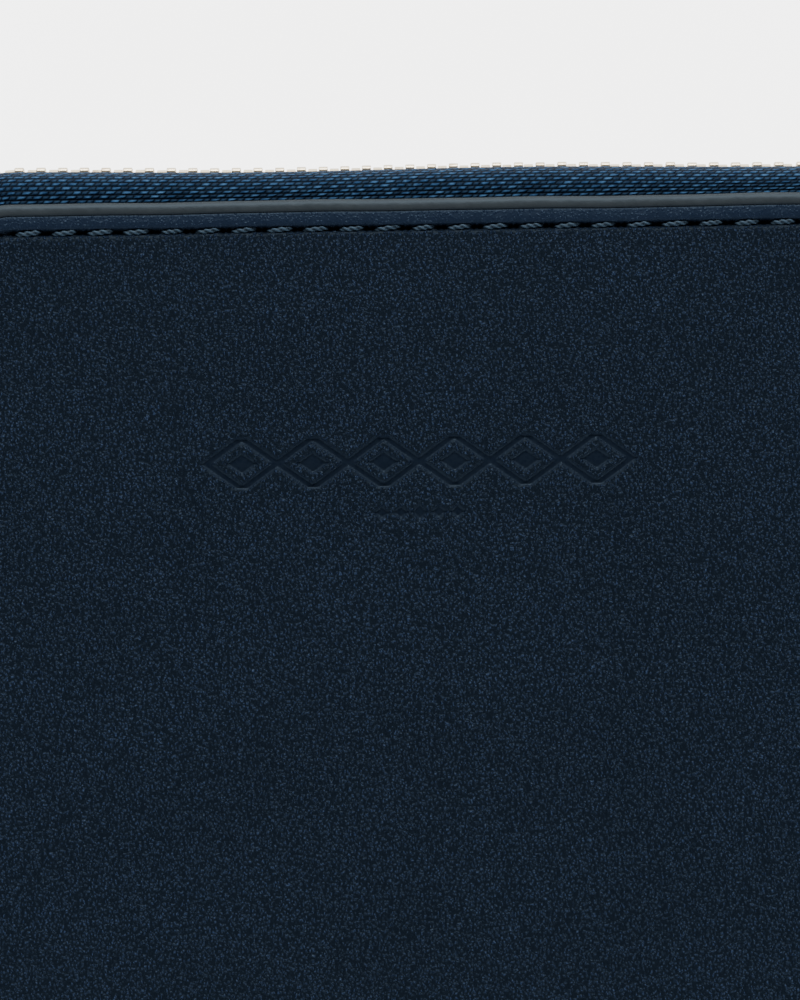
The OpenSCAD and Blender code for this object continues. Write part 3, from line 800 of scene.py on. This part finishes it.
def solid_from(points, width, bevel):
    """A bevelled prism: outline in (out, up) swept along the chain by width, centred."""
    bm = bmesh.new()
    ring = [bm.verts.new((-width / 2, a, b)) for a, b in points]
    face = bm.faces.new(ring)
    ext = bmesh.ops.extrude_face_region(bm, geom=[face])
    for v in ext["geom"]:
        if isinstance(v, bmesh.types.BMVert):
            v.co.x += width
    bmesh.ops.recalc_face_normals(bm, faces=bm.faces)
    bmesh.ops.bevel(bm, geom=list(bm.edges), offset=bevel, segments=2, affect="EDGES", profile=0.6,
                    clamp_overlap=True)
    bmesh.ops.recalc_face_normals(bm, faces=bm.faces)
    bmesh.ops.triangulate(bm, faces=bm.faces)
    v = np.array([x.co[:] for x in bm.verts])
    f = np.array([[x.index for x in q.verts] for q in bm.faces])
    bm.free()
    return v, f


SLOT = 0.34                                                  # half the slot that grips the tape's lip


def clip_outline(half):
    """A tooth's or stop's outline in (out, up), from its right half: the half, its mirror image, the slot."""
    return half + [(-a, b) for a, b in half[::-1]] + [(-SLOT, -LIP + 0.02), (SLOT, -LIP + 0.02)]


TOOTH = clip_outline([(SLOT, -LEG), (CHAIN_H - 0.32, -LEG), (CHAIN_H - 0.07, -LEG + 0.25),
                      (CHAIN_H, -LEG + 0.6), (CHAIN_H, -1.6), (CHAIN_H - 0.05, -0.95),
                      (0.84, -0.5), (0.66, 0.1), (0.6, 0.6)])
STOP = clip_outline([(SLOT, -LEG), (CHAIN_H, -LEG), (CHAIN_H, -0.45), (0.7, -0.2)])
TOOTH_MESH = solid_from(TOOTH, 1.08, 0.13)
STOP_MESH = solid_from(STOP, 1.18, 0.12)


def clips(name, mesh, places, row, body, nodes):
    """Copies of a tooth. places: centre x, y, angle in degrees, run."""
    v0, f0 = mesh
    rng = np.random.default_rng(11 if row > 0 else 12)
    vs, fs = [], []
    for i, st in enumerate(places):
        j = rng.normal(0, 1, 3) * 0.02
        a = math.radians(st[2])
        dx, dy = math.cos(a), math.sin(a)
        tx, ty = -dy, dx
        u = CHAIN_U + v0[:, 1] + j[0] * 0.7
        along = st[3] + v0[:, 0] + j[1] * 0.4
        z = MID + row * v0[:, 2]
        w = sway(st[0] + R * dx + st[3] * tx, st[1] + R * dy + st[3] * ty)
        x = st[0] + (R + u + w) * dx + along * tx + OX
        y = st[1] + (R + u + w) * dy + along * ty + OY
        vs.append(np.stack([x, y, z], -1))
        fs.append((f0 if row < 0 else f0[:, ::-1]) + i * len(v0))
    ob = make(name, np.vstack(vs), np.vstack(fs), M_TOOTH, body, nodes, smooth=False)
    turn_out(ob)
    ob.data.polygons.foreach_set("use_smooth", np.full(len(ob.data.polygons), True))
    ob.data.set_sharp_from_angle(angle=math.radians(38))
    return ob


PITCH = 2.55
NX, NY = round(2 * CX / PITCH), round(2 * CY / PITCH)
NC = int(1.5708 * (R + CHAIN_U) / PITCH)
POST_W, POST_CLEAR = 2.4, 1.9                                # the slider's middle post, and room past it
FIRST = math.ceil((POST_W + POST_CLEAR) * NX / (2 * CX))     # the first tooth past the post


def cells(row):
    """Where one row's teeth stand, along the bottom edge, the fore-edge and the top edge."""
    k = 0.25 if row > 0 else 0.75
    bottom = [(-CX, -CY, -90, (i + k) * 2 * CX / NX) for i in range(FIRST, NX)]
    fore = [(CX, -CY, -90 + (i + k) * 90 / NC, 0) for i in range(NC)]
    fore += [(CX, -CY, 0, (i + k) * 2 * CY / NY) for i in range(NY)]
    fore += [(CX, CY, (i + k) * 90 / NC, 0) for i in range(NC)]
    top = [(CX, CY, 90, (i + k) * 2 * CX / NX) for i in range(NX)]
    top += [(-CX, CY, 90 + (i + k) * 90 / NC, 0) for i in range(2)]
    return bottom, fore, top


for side, row in (("back", 1), ("front", -1)):
    for part, where in zip(("bottom", "fore", "top"), cells(row)):
        clips(f"{side}_teeth_{part}", TOOTH_MESH, where, row, f"{side}_cover", (f"zip_teeth_{side}_{part}",))
for row in (1, -1):
    clips(f"top_stop_{'back' if row > 0 else 'front'}", STOP_MESH, [(-CX, -CY, -96, 0)], row, "back_cover",
          ("zip_top_stops",) if row > 0 else ())


# ---------------------------------------------------------------- inner sheets
def sheet(name, nodes, body, box, mat, r=1.0, step=3.0, notch=None, grooves=(), seed=0.0, round_=None,
          face=1, sag=0.0):
    """A soft rounded sheet. box: x0, x1, y0, y1, z0, z1. r: its corners' radius; round_: its edge's.
    face is the side that shows, where grooves are pressed: rows of x0, y0, x1, y1.
    notch: x, y and radius of a round bite from the upper edge."""
    x0, x1, y0, y1, z0, z1 = box
    mx, my = (x0 + x1) / 2, (y0 + y1) / 2
    hx, hy, t = (x1 - x0) / 2, (y1 - y0) / 2, z1 - z0
    e = round_ if round_ is not None else t * 0.46
    b = np.concatenate([e * (1 - np.cos(np.linspace(0, math.pi / 2, 6))),
                        np.linspace(e, max(r, e * 1.5), 6)[1:]])
    cx_, cy_ = hx - b[-1], hy - b[-1]
    extra_x, extra_y = [], []
    for ax, ay, bx, by in grooves:
        for w in (-0.55, -0.35, -0.18, 0.0, 0.18, 0.35, 0.55):
            if abs(ax - bx) < 1e-6:
                extra_x.append(ax - mx + w)
            else:
                extra_y.append(ay - my + w)

    def lines(c, h, extra):
        k = max(2, round(2 * c / step))
        inside = [q for q in extra if abs(q) < c]
        ls = np.concatenate([-(h - b), np.linspace(-c, c, k + 1), (h - b)[::-1], inside])
        return np.unique(np.round(ls, 5))

    xs, ys = lines(cx_, hx, extra_x), lines(cy_, hy, extra_y)
    if notch:
        reach = notch[2] + 1.5
        xs = np.unique(np.round(np.concatenate([xs, notch[0] - mx + np.linspace(-reach, reach, 49)]), 5))
    X, Y = np.meshgrid(xs, ys, indexing="ij")
    d = np.minimum(hx - np.abs(X), hy - np.abs(Y))
    X, Y = round_corners(X, Y, cx_, cy_, b[-1])
    if notch:
        u = np.abs(X - (notch[0] - mx)) / notch[2]
        bite = np.where(u < 1, np.sqrt(np.clip(notch[2] ** 2 * (1 - u * u), 0, None)) + (y1 - notch[1]), 0)
        Y = Y - np.clip(bite, 0, None) * spot((Y + hy) / (2 * hy))
    drop = e * (1 - np.sqrt(np.clip(1 - np.clip(1 - d / e, 0, 1) ** 2, 0, 1)))
    puff = sag * wave(X * 1.5, Y * 1.5, seed) * spot(d / 5)
    press = np.zeros(X.shape)
    for ax, ay, bx, by in grooves:
        if abs(ax - bx) < 1e-6:
            off, along, lo_, hi_ = X - (ax - mx), Y, min(ay, by) - my, max(ay, by) - my
        else:
            off, along, lo_, hi_ = Y - (ay - my), X, min(ax, bx) - mx, max(ax, bx) - mx
        press = np.maximum(press, np.exp(-(off / 0.26) ** 2) * (along > lo_ - 0.3) * (along < hi_ + 0.3))
    shown = drop + 0.2 * press
    up = (z1 - (shown if face > 0 else drop)) + (puff if face > 0 else puff * 0.6)
    down = (z0 + (shown if face < 0 else drop)) + (puff if face < 0 else puff * 0.6)
    n, m = X.shape
    top = np.stack([X + mx, Y + my, up], -1).reshape(-1, 3)
    bot = np.stack([X + mx, Y + my, down], -1).reshape(-1, 3)
    ring = border_ring(n, m)
    side = np.stack([ring, ring + n * m, np.roll(ring, -1) + n * m, np.roll(ring, -1)], -1)
    f = np.vstack([grid_faces(n, m), grid_faces(n, m, flip=True) + n * m, side])
    return make(name, np.vstack([top, bot]), f, mat, body, nodes)


def node_box(node):
    """A CAD node's box in millimetres: x0, x1, y0, y1, z0, z1."""
    a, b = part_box(node)
    return [a.x / MM, b.x / MM, a.y / MM, b.y / MM, a.z / MM, b.z / MM]


sheet("back_lining_leather", ("back_lining",), "back_cover", node_box("back_lining"), M_LINING,
      r=R - 0.6, sag=0.03)
sheet("front_lining_leather", ("front_lining",), "front_cover", node_box("front_lining"), M_LINING,
      r=R - 0.6, sag=0.03, seed=2.0, face=-1)
for side in ("back", "front"):
    sheet(f"{side}_stiffener", (f"{side}_board",), f"{side}_cover", node_box(f"{side}_board"), M_BOARD,
          r=3.0)
    sheet(f"{side}_turned_hem", (f"{side}_spine_hem",), f"{side}_cover", node_box(f"{side}_spine_hem"),
          M_SPINE, r=0.8)

# passport pocket: panel, folded gusset, binding and stitches
PX0, PX1, PY0, PY1, PZ0, PZ1 = node_box("passport_pocket_panel")
PS = 1.9                                                     # the pocket's stitches, in from its edges
NOTCH_R, NOTCH_UP = 14.0, 5.0                                # thumb notch: radius, centre above the mouth


def side_and_foot(x0, x1, y0, y1):
    """Grooves up both sides of a pocket and along its foot."""
    return [(x0, y0, x0, y1), (x1, y0, x1, y1), (x0, y0, x1, y0)]


sheet("passport_pocket_front", ("passport_pocket_panel",), "back_cover", (PX0, PX1, PY0, PY1, PZ0, PZ1),
      M_POCKET, r=1.6, notch=((PX0 + PX1) / 2, PY1 + NOTCH_UP, NOTCH_R),
      grooves=side_and_foot(PX0 + PS, PX1 - PS, PY0 + PS, PY1 - PS), sag=0.05, seed=1.0)


def gusset(name, node):
    """The pocket's side wall: a leather strip folded in like a bellows, down one side, along the foot
    and up the other side."""
    x0, x1, y0, y1, z0, z1 = node_box(node)
    t = np.linspace(0, 1, 17)
    zz = z0 + 0.02 + (z1 - z0 - 0.04) * t
    fold = 0.25 + 1.55 * np.abs(np.sin(t * math.pi)) ** 1.4
    sec = np.stack([np.concatenate([fold, (fold + 0.75)[::-1]]), np.concatenate([zz, zz[::-1]])], -1)
    r = 3.0
    turn = [(math.cos(a), math.sin(a)) for a in np.linspace(0, math.pi / 2, 8)[1:]]
    way = [(x0, y, 1.0, 0.0) for y in np.linspace(y1, y0 + r, 40)]
    way += [(x0 + r - r * c, y0 + r - r * s, c, s) for c, s in turn]
    way += [(x, y0, 0.0, 1.0) for x in np.linspace(x0 + r, x1 - r, 36)[1:]]
    way += [(x1 - r + r * s, y0 + r - r * c, -s, c) for c, s in turn]
    way += [(x1, y, -1.0, 0.0) for y in np.linspace(y0 + r, y1, 40)[1:]]
    vs = [np.stack([x + nx_ * sec[:, 0], y + ny_ * sec[:, 0], sec[:, 1] + 0.03 * math.sin(i * 0.7)], -1)
          for i, (x, y, nx_, ny_) in enumerate(way)]
    ob = make(name, np.vstack(vs), capped(len(way), len(sec)), M_SPINE, "back_cover", (node,))
    turn_out(ob)
    return ob


gusset("passport_pocket_bellows", "passport_pocket_gusset")

BIND_IN = math.sqrt(NOTCH_R ** 2 - NOTCH_UP ** 2) + 0.6


def tube(name, points, half_w, half_h, mat, body, nodes, sides=16, swell=0.0):
    """A soft rounded bar along points at one height: half_w across, half_h up, swelling a little."""
    power = 2.6                                              # above 2, a squarer section than an ellipse
    p = np.asarray(points, float)
    d = np.gradient(p, axis=0)
    d /= np.linalg.norm(d, axis=1)[:, None]
    k = np.linspace(0, 2 * math.pi, sides, endpoint=False)
    ca, sa = np.cos(k), np.sin(k)
    su = np.sign(ca) * np.abs(ca) ** (2 / power)
    sv = np.sign(sa) * np.abs(sa) ** (2 / power)
    n = len(p)
    end = np.ones(n)
    end[0] = end[-1] = 0.55
    end[1] = end[-2] = 0.88
    vs = []
    for i in range(n):
        nx_, ny_ = -d[i, 1], d[i, 0]
        w = end[i] * (1 + swell * math.sin(i * 1.7))
        vs.append(np.stack([p[i, 0] + nx_ * su * half_w * w, p[i, 1] + ny_ * su * half_w * w,
                            p[i, 2] + sv * half_h * w], -1))
    ob = make(name, np.vstack(vs), capped(n, sides), mat, body, nodes)
    turn_out(ob)
    return ob


BX0, BX1, BY0, BY1, BZ0, BZ1 = node_box("passport_pocket_binding")
xm = (BX0 + BX1) / 2
for s, tag in ((-1, "left"), (1, "right")):
    xa, xb = xm + s * BIND_IN, (BX1 if s > 0 else BX0)
    pts = [(xa + (xb - xa) * i / 30, BY0 + 0.86, (BZ0 + BZ1) / 2) for i in range(31)]
    tube(f"pocket_binding_{tag}", pts, 0.84, (BZ1 - BZ0) / 2, M_SPINE, "back_cover",
         ("passport_pocket_binding",) if s > 0 else (), swell=0.02)


def small_run(x, y, length, ang):
    """A straight run of small stitches about its middle: rows of x, y, angle, half length."""
    pitch, half = 3.6, 1.35
    n = int(length // pitch)
    offs = [(i + 0.5) * length / n - length / 2 for i in range(n)]
    return [(x + off * math.cos(ang), y + off * math.sin(ang), ang, half) for off in offs]


mx, my = (PX0 + PX1) / 2, (PY0 + PY1) / 2
rows = small_run(PX0 + PS, my + 0.6, PY1 - PY0 - 8, math.pi / 2)
rows += small_run(PX1 - PS, my + 0.6, PY1 - PY0 - 8, math.pi / 2)
rows += small_run(mx, PY0 + PS, PX1 - PX0 - 8, 0)
strands("pocket_stitches", np.array(rows), PZ1 + 0.06, "back_cover", ("passport_pocket_stitching",),
        sag=0.16, rad=0.2, tilt=0.05)

# the front cover's slip pocket and four card slots
sheet("slip_pocket", ("slip_pocket_panel",), "front_cover", node_box("slip_pocket_panel"), M_POCKET,
      r=1.4, face=-1, sag=0.04, seed=3.0)
SLOTS, SLOT_SEAM, CREASE_IN, CREASE_DOWN = 4, 2, 3.2, 1.6
for k in range(1, SLOTS + 1):
    x0, x1, y0, y1, z0, z1 = node_box(f"card_slot_{k}")
    seams = ()
    if k == SLOTS:
        seams = side_and_foot(x0 + SLOT_SEAM, x1 - SLOT_SEAM, y0 + SLOT_SEAM, y1 - SLOT_SEAM)
    sheet(f"card_slot_leather_{k}", (f"card_slot_{k}",), "front_cover", (x0, x1, y0, y1, z0, z1), M_POCKET,
          r=1.8, face=-1, grooves=seams, sag=0.03, seed=4.0 + k)
    # a raised line just under the slot's mouth
    pts = [(x0 + CREASE_IN + (x1 - x0 - 2 * CREASE_IN) * i / 40, y1 - CREASE_DOWN, z0 + 0.06)
           for i in range(41)]
    tube(f"card_slot_crease_{k}", pts, 0.22, 0.11, M_SPINE, "front_cover", (), sides=10)
rows = small_run(x0 + SLOT_SEAM, (y0 + y1) / 2, y1 - y0 - 6, math.pi / 2)
rows += small_run(x1 - SLOT_SEAM, (y0 + y1) / 2, y1 - y0 - 6, math.pi / 2)
rows += small_run((x0 + x1) / 2, y0 + SLOT_SEAM, x1 - x0 - 8, 0)
strands("card_stitches", np.array(rows), z0 - 0.06, "front_cover", ("card_slot_stitching",),
        sag=0.16, rad=0.2, tilt=-0.05, up=-1.0)


# ---------------------------------------------------------------- spine
SX = AXIS_X + OX
SPINE_HALF = (node_box("spine_panel")[3] - node_box("spine_panel")[2]) / 2


def spine_section():
    """The spine leather's outer face, lower half: from under the back cover's edge, round the fold
    and up to the middle."""
    a = np.linspace(-math.pi / 2, -math.pi, 15)
    fold = np.stack([np.cos(a) * BEAD, AXIS_IN + np.sin(a) * BEAD], -1)
    lead = np.stack([np.linspace(1.25, 0.0, 6)[:-1], np.full(5, AXIS_IN - BEAD)], -1)
    lead[0, 1] += 0.35
    lead[1, 1] += 0.08
    rise = np.linspace(AXIS_IN, MID, 15)[1:]
    t = (rise - AXIS_IN) / (MID - AXIS_IN)
    out = -BEAD - 0.12 * np.sin(t * math.pi / 2) + 0.16 * np.exp(-((rise - AXIS_IN - 1.2) / 0.5) ** 2)
    return np.vstack([lead, fold, np.stack([out, rise], -1)])


def spine_half(name, upper, nodes):
    """Half of the spine's outer leather, blended across its fold from cover to spine."""
    sec = spine_section()
    d = np.gradient(sec, axis=0)
    d /= np.linalg.norm(d, axis=1)[:, None]
    nor = np.stack([-d[:, 1], d[:, 0]], -1)
    thick = np.interp(np.arange(len(sec)), [0, 3, 8, len(sec) - 1], [0.45, 0.8, 1.15, 1.1])[:, None]
    inner = sec - nor * thick
    loop = np.vstack([sec, inner[::-1]])
    middle = np.vstack([(sec + inner) / 2, ((sec + inner) / 2)[::-1]])
    ys = np.linspace(-SPINE_HALF, SPINE_HALF, 121)
    vs = []
    for i, y in enumerate(ys):
        e = min(i, len(ys) - 1 - i)
        shrink = (0.30, 0.10, 0.02)[e] if e < 3 else 0.0
        crinkle = 0.035 * np.sin(y * 1.9 + np.sin(y * 0.7)) * np.exp(-((loop[:, 1] - AXIS_IN) / 1.3) ** 2)
        q = loop + (middle - loop) * shrink
        q[:, 0] += crinkle + 0.04 * wave(np.full(len(q), y), q[:, 1] * 3)
        z = T - q[:, 1] if upper else q[:, 1]
        vs.append(np.stack([SX + q[:, 0], np.full(len(q), OY + y * (1 - 0.001 * shrink)), z], -1))
    ob = make(name, np.vstack(vs), capped(len(ys), len(loop)), M_SPINE, None, nodes)
    turn_out(ob)
    ob.data.set_sharp_from_angle(angle=math.radians(50))
    if upper:
        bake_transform(ob)
    else:
        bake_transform(ob)
    return ob


spine_half("spine_leather_lower", False, ("spine_panel",))
spine_half("spine_leather_upper", True, ())
for side, face in (("back", 1), ("front", -1)):
    z = (PANEL_T - 0.02, PANEL_T + 0.56)
    z = z if face > 0 else (T - z[1], T - z[0])
    strip = (SX - 0.15, SX + 2.2, OY - SPINE_HALF + 0.6, OY + SPINE_HALF - 0.6, *z)
    sheet(f"{side}_hinge_strip", (), f"{side}_cover", strip, M_SPINE,
          r=0.5, round_=0.22, face=face, step=2.0)
sheet("spine_inner_leather", ("spine_lining",), "spine", node_box("spine_lining"), M_LINING,
      r=0.6, round_=0.3, step=4.0)


# ---------------------------------------------------------------- metal: stop, slider, bail, pull
def machined(node, name, mat, body, bevel):
    """The CAD node's own shape with its edges rounded over."""
    src = bpy.data.objects[node]
    bm = bmesh.new()
    bm.from_mesh(src.data)
    bmesh.ops.remove_doubles(bm, verts=bm.verts, dist=0.00001)
    bmesh.ops.dissolve_limit(bm, angle_limit=math.radians(3), verts=bm.verts, edges=bm.edges)
    sharp = [e for e in bm.edges if len(e.link_faces) == 2 and e.calc_face_angle(0) > math.radians(30)]
    bmesh.ops.bevel(bm, geom=sharp, offset=bevel * MM, segments=3, affect="EDGES", profile=0.5,
                    clamp_overlap=True)
    bmesh.ops.recalc_face_normals(bm, faces=bm.faces)
    me = bpy.data.meshes.new(name)
    bm.to_mesh(me)
    bm.free()
    me.materials.clear()
    me.materials.append(mat)
    me.polygons.foreach_set("use_smooth", np.full(len(me.polygons), True))
    me.set_sharp_from_angle(angle=math.radians(38))
    ob = bpy.data.objects.new(name, me)
    bpy.context.scene.collection.objects.link(ob)
    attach(ob, body)
    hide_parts(node)
    return ob


machined("zip_bottom_stop", "bottom_stop", M_TOOTH, "back_cover", 0.16)
machined("slider_body", "slider_shell", M_SLIDER, "slider", 0.18)
machined("slider_bail", "slider_bail_loop", M_SLIDER, "slider", 0.22)
machined("pull_bar", "pull_pin", M_SLIDER, "pull", 0.12)
machined("pull_tab", "pull_leaf", M_SLIDER, "pull", 0.2)
